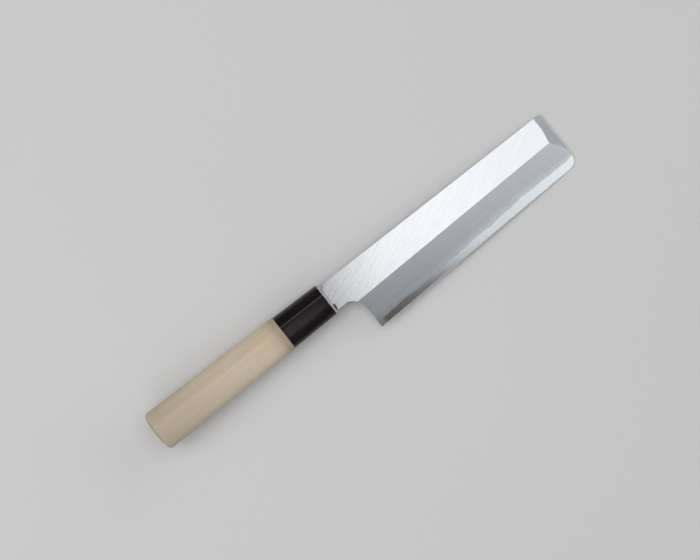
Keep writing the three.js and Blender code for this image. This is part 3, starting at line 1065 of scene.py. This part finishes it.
# %% [markdown]
# ## Handling marks
# Nothing that is held stays evenly smooth. This group is a slow cloud that moves the roughness a little, so
# that highlights break up softly. Painting such marks by hand would suit a single picture, but noise works
# from every side, and every finish on the knife uses it.

# %% Group: handling marks
handling_marks, given, result = new_group(
    "handling marks", {"Size": 60.0, "Roughness": 0.3, "Amount": 0.05}, ["Roughness"])
cloud = noise(handling_marks, given["Place"], given["Size"], Detail=3.0)
swing = maths(handling_marks, "MULTIPLY", maths(handling_marks, "SUBTRACT", cloud, 0.5), given["Amount"])
marked = maths(handling_marks, "ADD", swing, given["Roughness"], clamp=True)
handling_marks.links.new(marked, result["Roughness"])
print("group:", handling_marks.name)

# %% [markdown]
# ## The bevel's haze
# Natural stone dulls soft iron and polishes hard steel, and the two fade into each other over a millimetre
# or two. Colouring the two pieces apart would give a cut line. So both use this group: it measures the
# height over the edge and puts out how far a point lies into the polished band, with the weld's own waves
# and some finer ones. A wider halo above the band and the way towards the tip come out as well.

# %% Group: bevel haze, where a point lies
RIPPLE_SQUEEZE = (1, 0.35, 0)
edge_vector = Vector(tip_corner) - Vector(heel_corner)
edge_up = Vector((-edge_vector.y, edge_vector.x)).normalized()
band_height = [(Vector(p) - Vector(heel_corner)).dot(edge_up) for p in (weld_start, weld_end)]
bevel_haze, given, result = new_group(
    "bevel haze", {"Softness": 1.2 * MM}, ["Band", "Halo", "Towards tip"])
from_heel = vector_maths(bevel_haze, "SUBTRACT", given["Place"], place(*heel_corner, 0))
height = vector_maths(bevel_haze, "DOT_PRODUCT", from_heel, (*edge_up, 0))
ripple_place = vector_maths(bevel_haze, "MULTIPLY", from_heel, RIPPLE_SQUEEZE)
length = add_node(bevel_haze, "ShaderNodeSeparateXYZ", {0: from_heel}).outputs["X"]
to_tip = ramped(bevel_haze, length, 0, (BLADE_LENGTH - HEEL_X) * MM, smooth=False)
bevel_haze.links.new(to_tip, result["Towards tip"])
print("band height in mm, heel and tip:", short(band_height))

# %% Group: bevel haze, band and halo
BAND_WIDENS = (0.25, 0.80)
HEEL_BAND = 1.12
RIPPLES = ((75, 3.0 * MM), (320, 1.8 * MM))
SOFT_AT_HEEL = 0.2
PLAIN_HEEL = (1.5 * MM, 6 * MM)
HALO_WIDTH = 5.0 * MM
HALO_FADES = (0.3, 1.0)
HALO_AT_TIP = 0.5
weld_height = ramped(bevel_haze, to_tip, *BAND_WIDENS, HEEL_BAND * band_height[0] * MM, band_height[1] * MM)
for scale, reach in RIPPLES:
    ripple = maths(bevel_haze, "SUBTRACT", noise(bevel_haze, ripple_place, scale, Detail=2.0), 0.5)
    weld_height = maths(bevel_haze, "ADD", weld_height, maths(bevel_haze, "MULTIPLY", ripple, reach))
depth = maths(bevel_haze, "SUBTRACT", weld_height, height)
softness = maths(bevel_haze, "MULTIPLY", given["Softness"], maths(bevel_haze, "ADD", to_tip, SOFT_AT_HEEL))
half_soft = maths(bevel_haze, "MULTIPLY", softness, 0.5)
in_band = ramped(bevel_haze, depth, maths(bevel_haze, "MULTIPLY", half_soft, -1.0), half_soft)
past_heel = ramped(bevel_haze, length, *PLAIN_HEEL)
bevel_haze.links.new(maths(bevel_haze, "MULTIPLY", in_band, past_heel), result["Band"])
fading = ramped(bevel_haze, to_tip, *HALO_FADES, 1.0, HALO_AT_TIP)
near_band = ramped(bevel_haze, depth, -HALO_WIDTH, 0.0)
bevel_haze.links.new(maths(bevel_haze, "MULTIPLY", near_band, fading), result["Halo"])
print("group:", bevel_haze.name)

# %% [markdown]
# ## Satin steel
# All steel here is one metal, so the Principled shader is fully metallic throughout, and the finishes
# differ only in roughness, scratches and a slight tint. The scratches also feed a bump, which spreads the
# softbox into a satin glow. The flat is ground across at a slant and the hollow crosswise, the rim of the
# back is polished by the flat stone, and the very edge is honed dull. An anisotropic shader would be
# quicker, but it shows no single scratch.

# %% Satin steel: flat, facet, sides, back and edge
SATIN_FINISHES = {
    # dark and light colour, roughness, stroke in degrees, fineness, scratch depth in mm
    "satin flat": ((0.563, 0.580, 0.606), (0.603, 0.617, 0.638), 0.155, -24, 5200, 0.020),
    "tip facet": ((0.455, 0.465, 0.515), (0.50, 0.51, 0.56), 0.34, -70, 5200, 0.006),
    "ground sides": ((0.66, 0.66, 0.68), (0.80, 0.80, 0.82), 0.36, 0, 3600, 0.009),
    "hollow back": ((0.60, 0.61, 0.63), (0.66, 0.67, 0.69), 0.21, -90, 4200, 0.009),
    "flattened rim": ((0.72, 0.73, 0.745), (0.77, 0.78, 0.795), 0.15, 0, 6000, 0.004),
    "honed edge": ((0.70, 0.70, 0.69), (0.78, 0.78, 0.77), 0.50, 0, 3600, 0.0005),
}
STREAK_RANGE = (0.3, 0.7)
LINE_ROUGHNESS = 0.12
LINE_RELIEF = 0.15


def satin_steel(name, dark, light, roughness, stroke, fineness, scratch):
    material, tree, shader, spot = new_material(name)
    lines = place_group(tree, grinding_lines, spot, Angle=math.radians(stroke), Fineness=fineness)
    marks = place_group(tree, handling_marks, spot, Size=45.0, Roughness=roughness, Amount=0.06)
    shader.inputs["Metallic"].default_value = 1.0
    share = ramped(tree, lines["Streaks"], *STREAK_RANGE)
    tree.links.new(blended(tree, share, (*dark, 1), (*light, 1)), shader.inputs["Base Color"])
    rough = maths(tree, "MULTIPLY", maths(tree, "SUBTRACT", lines["Lines"], 0.5), LINE_ROUGHNESS)
    tree.links.new(maths(tree, "ADD", marks["Roughness"], rough, clamp=True), shader.inputs["Roughness"])
    ground = maths(tree, "ADD", lines["Streaks"], maths(tree, "MULTIPLY", lines["Lines"], LINE_RELIEF))
    wire_bump(tree, shader, ground, strength=1.0, depth=scratch)
    return material


satin = {name: satin_steel(name, *values) for name, values in SATIN_FINISHES.items()}
print("satin steels:", ", ".join(satin))

# %% [markdown]
# ## Bevel and edge band
# On the bevel the dull iron and the bright steel are one surface, worked on the same stone with lengthwise
# strokes. Both pieces therefore get the same finish: iron colour, a bluish halo, then the band, whose colour
# holds a painted reflection: a warm tone at the heel, going to a cool, paler one at the tip. Two separate
# finishes would show a seam.

# %% Bevel: dull iron fading into polished steel
HEEL_IRON = ((0.373, 0.387, 0.414, 1), (0.453, 0.467, 0.498, 1))
TIP_IRON = ((0.360, 0.374, 0.398, 1), (0.440, 0.454, 0.482, 1))
IRON_CHANGES = (0.5, 1.0)
HALO_BLUE = (0.435, 0.480, 0.530, 1)
HALO_SHARE = 0.7
# Painted reflection in the band: a warm, dark tone at the heel, then paler steps towards the tip
HEEL_BAND_REFLECTION = (0.462, 0.402, 0.398, 1)
BAND_REFLECTION_TONES = (
    # from and to, as shares of the way to the tip, and the colour from there on
    (0.06, 0.24, (0.455, 0.475, 0.50, 1)),
    (0.27, 0.38, (0.48, 0.514, 0.54, 1)),
    (0.60, 1.00, (0.55, 0.58, 0.605, 1)),
)
HALO_SMOOTHS, BAND_SMOOTHS = 0.09, 0.07


def bevel_finish(name):
    material, tree, shader, spot = new_material(name)
    haze = place_group(tree, bevel_haze, spot)
    lines = place_group(tree, grinding_lines, spot, Angle=math.radians(-2), Fineness=3000.0)
    marks = place_group(tree, handling_marks, spot, Size=70.0, Roughness=0.25, Amount=0.03)
    shader.inputs["Metallic"].default_value = 1.0
    way = haze["Towards tip"]
    heel_iron, tip_iron = (blended(tree, lines["Streaks"], *pair) for pair in (HEEL_IRON, TIP_IRON))
    iron_tone = blended(tree, ramped(tree, way, *IRON_CHANGES), heel_iron, tip_iron)
    bluish = blended(tree, maths(tree, "MULTIPLY", haze["Halo"], HALO_SHARE), iron_tone, HALO_BLUE)
    # the band's colour, with its painted reflection from heel to tip
    polished = HEEL_BAND_REFLECTION
    for start, end, tone in BAND_REFLECTION_TONES:
        polished = blended(tree, ramped(tree, way, start, end), polished, tone)
    tree.links.new(blended(tree, haze["Band"], bluish, polished), shader.inputs["Base Color"])
    by_halo = maths(tree, "MULTIPLY", haze["Halo"], HALO_SMOOTHS)
    smoothed = maths(tree, "ADD", by_halo, maths(tree, "MULTIPLY", haze["Band"], BAND_SMOOTHS))
    rough = maths(tree, "SUBTRACT", marks["Roughness"], smoothed, clamp=True)
    tree.links.new(rough, shader.inputs["Roughness"])
    wire_bump(tree, shader, lines["Lines"], strength=0.10, depth=0.02)
    return material


iron_bevel = bevel_finish("stone-finished bevel")
steel_band = bevel_finish("polished edge band")
print("bevel finishes:", iron_bevel.name, "and", steel_band.name)

# %% [markdown]
# ## Forge skin
# Steel that no stone has touched keeps the dark, crusty skin of the fire. It covers the tang, the small
# step beside it and the hidden weld. A plain dark grey would pass at this size, but a cloud in colour and
# height is as cheap and holds up close.

# %% Forge skin on the tang and the weld
SKIN_DARK, SKIN_LIGHT = (0.035, 0.028, 0.026, 1), (0.09, 0.075, 0.068, 1)
SKIN_SCALE = 420.0


def forge_skin(name):
    material, tree, shader, spot = new_material(name)
    crust = noise(tree, spot, SKIN_SCALE, Detail=5.0)
    marks = place_group(tree, handling_marks, spot, Size=120.0, Roughness=0.62, Amount=0.2)
    tree.links.new(blended(tree, crust, SKIN_DARK, SKIN_LIGHT), shader.inputs["Base Color"])
    tree.links.new(marks["Roughness"], shader.inputs["Roughness"])
    shader.inputs["Metallic"].default_value = 0.8
    wire_bump(tree, shader, crust, strength=0.5, depth=0.1)
    return material


tang_skin = forge_skin("forge skin")
print("hidden steel:", tang_skin.name)

# %% [markdown]
# ## Horn
# Water-buffalo horn is nearly black, with faint brown and grey streaks along its growth. It takes a polish,
# so it is a dark dielectric with low roughness, and the streaks act more on the gloss than on the colour.
# The ridge is worn a little greyer by the hand and painted lighter for its highlight line, the chamfer is
# sanded and painted pale for the highlight it catches, and the sawn faces stay dull.

# %% Black horn
HORN_FINISHES = {
    # dark and light colour, roughness
    "polished horn": ((0.003, 0.0018, 0.0013), (0.009, 0.006, 0.005), 0.20),
    # painted highlight: the sanded chamfer is coloured pale for the light line it catches
    "horn chamfer, painted highlight": ((0.37, 0.365, 0.40), (0.45, 0.44, 0.48), 0.5),
    "sawn horn": ((0.05, 0.045, 0.045), (0.10, 0.09, 0.09), 0.5),
    # worn by the hand, and painted lighter for the ridge's highlight line
    "horn ridge, worn and painted lighter": ((0.016, 0.015, 0.016), (0.028, 0.026, 0.028), 0.4),
}
HORN_STREAKS = (0.40, 0.65)
HAIR_ROUGHNESS = 0.40
HAIR_RELIEF = 0.3


def black_horn(name, dark, light, roughness):
    material, tree, shader, spot = new_material(name)
    grain = place_group(tree, long_grain, spot, Streak_width=900.0, Hair_width=2400.0)
    marks = place_group(tree, handling_marks, spot, Size=90.0, Roughness=roughness, Amount=0.10)
    share = ramped(tree, grain["Streaks"], *HORN_STREAKS)
    tree.links.new(blended(tree, share, (*dark, 1), (*light, 1)), shader.inputs["Base Color"])
    rough = maths(tree, "MULTIPLY", maths(tree, "SUBTRACT", grain["Hairs"], 0.5), HAIR_ROUGHNESS)
    tree.links.new(maths(tree, "ADD", marks["Roughness"], rough, clamp=True), shader.inputs["Roughness"])
    shader.inputs["IOR"].default_value = 1.54
    shader.inputs["Specular IOR Level"].default_value = 0.3
    relief = maths(tree, "ADD", grain["Streaks"], maths(tree, "MULTIPLY", grain["Hairs"], HAIR_RELIEF))
    wire_bump(tree, shader, relief, strength=1.0, depth=0.03)
    return material


horn = {name: black_horn(name, *values) for name, values in HORN_FINISHES.items()}
print("horn:", ", ".join(horn))

# %% [markdown]
# ## Painted light and shade on the wood
# The grip's colour is darkened towards the butt and in a narrow zone at the joint with the horn: painted
# shade, for the light that falls off at the butt and the shade at the joint. Along the ridge a pale line is
# painted, partly the highlight the ridge catches and partly hand wear, and above it a warm, darker stripe of
# painted shade. A painted mask could do this, but measuring the place in the frame needs no unwrapped mesh
# and stays sharp at any size.

# %% Group: handled ends
BUTT_SHADE_FROM = -60
# Painted shade: the wood is darker towards the butt and in a narrow zone at the joint with the horn.
HORN_SHADE_ZONE = (FERRULE_BACK - 12, FERRULE_BACK - 2.5)
painted_end_shade, given, result = new_group("painted end shade", {"At butt": 0.44, "At horn": 0.8}, ["Worn"])


def along_x(x):
    return place(x, 0, 0).x


along = add_node(painted_end_shade, "ShaderNodeSeparateXYZ", {0: given["Place"]}).outputs["X"]
to_butt = ramped(painted_end_shade, along, along_x(BUTT_SHADE_FROM), along_x(BUTT))
to_horn = ramped(painted_end_shade, along, *(along_x(x) for x in HORN_SHADE_ZONE), smooth=False)
at_butt = maths(painted_end_shade, "MULTIPLY", to_butt, given["At butt"])
at_horn = maths(painted_end_shade, "MULTIPLY", maths(painted_end_shade, "POWER", to_horn, 2.0), given["At horn"])
painted_end_shade.links.new(maths(painted_end_shade, "MAXIMUM", at_butt, at_horn), result["Worn"])
print("group:", painted_end_shade.name)

# %% Group: painted highlight and shade along the ridge
# A pale line just below the ridge is a painted highlight with some hand wear. A warm, darker stripe above it,
# on the upper side, is painted shade.
RIDGE_HIGHLIGHT_BELOW = 1.7 * MM
RIDGE_HIGHLIGHT_WIDTH = (0.2 * MM, 1.6 * MM)
RIDGE_HIGHLIGHT_SHARE = 0.38
RIDGE_SHADE_STARTS = (-1.3 * MM, -0.1 * MM)
RIDGE_SHADE_FADES = (2.0 * MM, 4.2 * MM)
RIDGE_SHADE_LEFT = 0.4
UPPER_SIDE = (axis_z, axis_z + 2)
ridge_highlight_and_shade, given, result = new_group("ridge highlight and shade", {}, ["Rubbed", "Ridge shade"])
ridge_heights = [place(0, SECTION_RIDGE * tall / 2, 0).y for tall in WOOD_HEIGHT]
parts = add_node(ridge_highlight_and_shade, "ShaderNodeSeparateXYZ", {0: given["Place"]}).outputs
ridge_line = ramped(ridge_highlight_and_shade, parts["X"], along_x(FERRULE_BACK), along_x(BUTT), *ridge_heights,
                    smooth=False)
over_ridge = maths(ridge_highlight_and_shade, "SUBTRACT", parts["Y"], ridge_line)
on_top = ramped(ridge_highlight_and_shade, parts["Z"], *(place(0, 0, z).z for z in UPPER_SIDE))
off_line = maths(ridge_highlight_and_shade, "ABSOLUTE", maths(ridge_highlight_and_shade, "ADD", over_ridge, RIDGE_HIGHLIGHT_BELOW))
rubbed = ramped(ridge_highlight_and_shade, off_line, *RIDGE_HIGHLIGHT_WIDTH, RIDGE_HIGHLIGHT_SHARE, 0.0)
starting = ramped(ridge_highlight_and_shade, over_ridge, *RIDGE_SHADE_STARTS)
fading = ramped(ridge_highlight_and_shade, over_ridge, *RIDGE_SHADE_FADES, 1.0, RIDGE_SHADE_LEFT)
ridge_shade = maths(ridge_highlight_and_shade, "MULTIPLY", starting, fading)
ridge_highlight_and_shade.links.new(maths(ridge_highlight_and_shade, "MULTIPLY", rubbed, on_top), result["Rubbed"])
ridge_highlight_and_shade.links.new(maths(ridge_highlight_and_shade, "MULTIPLY", ridge_shade, on_top), result["Ridge shade"])
print("group:", ridge_highlight_and_shade.name)

# %% [markdown]
# ## Wood
# The grip is bare and finely sanded. Close-grained pale wood shows soft lengthwise streaks, tiny pores
# drawn out as hairs, and patches that are a little warmer than the rest. The cut butt shows the same fibres
# end on, as fine dots. A lacquer coat would be wrong, so the wood stays rough.

# %% Group: warm patches
PATCH_SQUEEZE = 0.25
PATCH_RANGE = (0.4, 0.65)
warm_patches, given, result = new_group("warm patches", {"Fineness": 140.0}, ["Warm"])
patch = streaked(warm_patches, given["Place"], given["Fineness"], PATCH_SQUEEZE)
warm_patches.links.new(ramped(warm_patches, patch, *PATCH_RANGE), result["Warm"])
print("group:", warm_patches.name)

# %% Bare wood, along the grain, end on and burnt
WOOD_FINISHES = {
    # dark and light colour, cut across the grain or not
    "bare wood": ((0.557, 0.468, 0.355), (0.599, 0.506, 0.397), False),
    # end grain is darker of itself, and is painted darker still as shade on the lit butt
    "wood end grain": ((0.437, 0.367, 0.274), (0.52, 0.442, 0.34), True),
    "burnt slot": ((0.05, 0.035, 0.025), (0.12, 0.09, 0.06), False),
}
WARM_PATCH = (1.0, 0.985, 0.93, 1)
RIDGE_SHADE_TONE = (0.935, 0.92, 0.863, 1)
RIDGE_HIGHLIGHT_TONE = (1.03, 1.04, 1.06)
END_SHADE_TONE = (0.556, 0.540, 0.501)
PORE_TONE = (0.95, 0.95, 0.95)
WOOD_STREAKS = (0.2, 0.8)
PORE_RANGE = (0.36, 0.50)
FIBRE_SCALE = 2600.0
FIBRE_DOTS = (0.1, 0.5, 0.6, 1.0)


def toned(tone, colour):
    return (*(a * b for a, b in zip(tone, colour)), 1)


def bare_wood(name, dark, light, across_grain):
    material, tree, shader, spot = new_material(name)
    grain = place_group(tree, long_grain, spot, Streak_width=210.0, Hair_width=2600.0)
    marks = place_group(tree, handling_marks, spot, Size=35.0, Roughness=0.58, Amount=0.10)
    patches = place_group(tree, warm_patches, spot)
    ridge = place_group(tree, ridge_highlight_and_shade, spot)
    ends = place_group(tree, painted_end_shade, spot)
    share = ramped(tree, grain["Streaks"], *WOOD_STREAKS)
    if across_grain:
        dots = add_node(tree, "ShaderNodeTexVoronoi", {"Vector": spot, "Scale": FIBRE_SCALE})
        share = maths(tree, "MULTIPLY", share, ramped(tree, dots.outputs["Distance"], *FIBRE_DOTS))
    colour = blended(tree, share, (*dark, 1), (*light, 1))
    colour = blended(tree, ramped(tree, grain["Hairs"], *PORE_RANGE), toned(PORE_TONE, dark), colour)
    colour = blended(tree, patches["Warm"], colour, WARM_PATCH, way="MULTIPLY")
    # Painted shade above the ridge, then the painted highlight, with hand wear, below it.
    colour = blended(tree, ridge["Ridge shade"], colour, RIDGE_SHADE_TONE, way="MULTIPLY")
    colour = blended(tree, ridge["Rubbed"], colour, toned(RIDGE_HIGHLIGHT_TONE, light))
    # Painted shade towards the butt and beside the horn.
    colour = blended(tree, ends["Worn"], colour, toned(END_SHADE_TONE, dark))
    tree.links.new(colour, shader.inputs["Base Color"])
    tree.links.new(marks["Roughness"], shader.inputs["Roughness"])
    wire_bump(tree, shader, grain["Hairs"], strength=0.30, depth=0.08)
    return material


wood = {name: bare_wood(name, *values) for name, values in WOOD_FINISHES.items()}
print("wood:", ", ".join(wood))

# %% [markdown]
# ## The floor's finish
# A sheet of pale matt card lies under the knife. It could be one flat grey, but a very slow cloud keeps it
# from looking like an empty background, and being matt it takes the knife's soft shadow.

# %% Pale floor
CARD_DARK, CARD_LIGHT = (0.59, 0.59, 0.595, 1), (0.62, 0.62, 0.62, 1)
CARD_SCALE = 3.0
card, card_tree, card_shader, card_spot = new_material("pale floor")
card_tone = blended(card_tree, noise(card_tree, card_spot, CARD_SCALE, Detail=2.0), CARD_DARK, CARD_LIGHT)
card_tree.links.new(card_tone, card_shader.inputs["Base Color"])
card_shader.inputs["Roughness"].default_value = 0.9
floor.data.materials.append(card)
print("floor finish:", card.name)

# %% [markdown]
# ## Finishes onto pieces
# Each face was given a number while it was built: flat, bevel, facet and so on. The finishes go into the
# material slots in the same order, so a face finds its own finish. Painting masks would blur lines that
# are sharp on the real knife.

# %% Hand out the finishes
FINISHES = (
    (iron, {FLAT: satin["satin flat"], BEVEL: iron_bevel, FACET: satin["tip facet"],
            SIDES: satin["ground sides"], TANG: tang_skin, HIDDEN: tang_skin}),
    (steel, {BAND: steel_band, STEEL_SIDES: satin["ground sides"], BACK: satin["hollow back"],
             STEEL_HIDDEN: tang_skin, EDGE_BEVEL: satin["honed edge"], BACK_RIM: satin["flattened rim"]}),
    (ferrule, {HORN_OUT: horn["polished horn"], HORN_CHAMFER: horn["horn chamfer, painted highlight"],
               HORN_FACE: horn["sawn horn"], HORN_BORE: horn["sawn horn"],
               HORN_RIDGE: horn["horn ridge, worn and painted lighter"]}),
    (grip, {BUTT_FACE: wood["wood end grain"], GRIP: wood["bare wood"], TENON: wood["wood end grain"],
            SLOT: wood["burnt slot"]}),
)
for piece, finishes in FINISHES:
    for number in sorted(finishes):
        piece.data.materials.append(finishes[number])
    print(piece.name, "has", len(piece.data.materials), "finishes")
